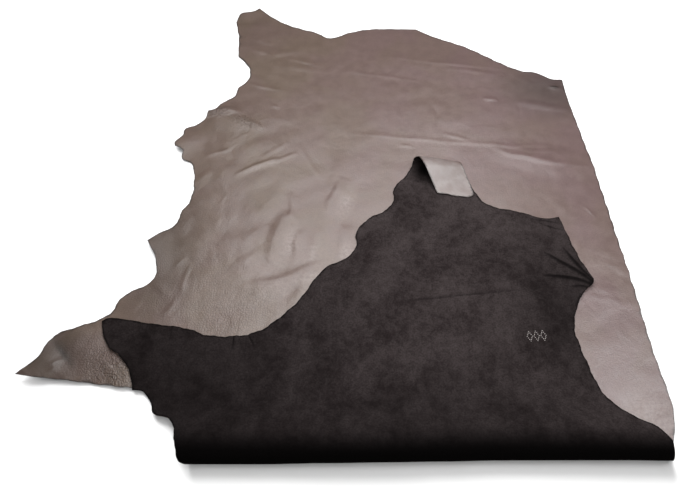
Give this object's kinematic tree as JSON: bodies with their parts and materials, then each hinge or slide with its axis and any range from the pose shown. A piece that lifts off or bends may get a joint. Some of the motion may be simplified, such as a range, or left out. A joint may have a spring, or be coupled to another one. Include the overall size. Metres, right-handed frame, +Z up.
{
  "type": "leather half hide",
  "caption": "Tanned half hide of upholstery leather lying grain side up, its neck and shoulder turned back over the body in one loose roll.",
  "frame": {"origin": "on the surface the hide lies on, at the middle of the folded hide's box", "axes": "+Z up from the surface, +X from the belly to the cut spine edge, +Y from the shoulder roll to the hind shank"},
  "size_m": [1.4336, 1.5334, 0.0534],
  "materials": {
    "hide_leather": "taupe satin grain side, dark brown sueded flesh side"
  },
  "bodies": {
    "root": {"hide": "hide_leather"}
  },
  "joints": []
}
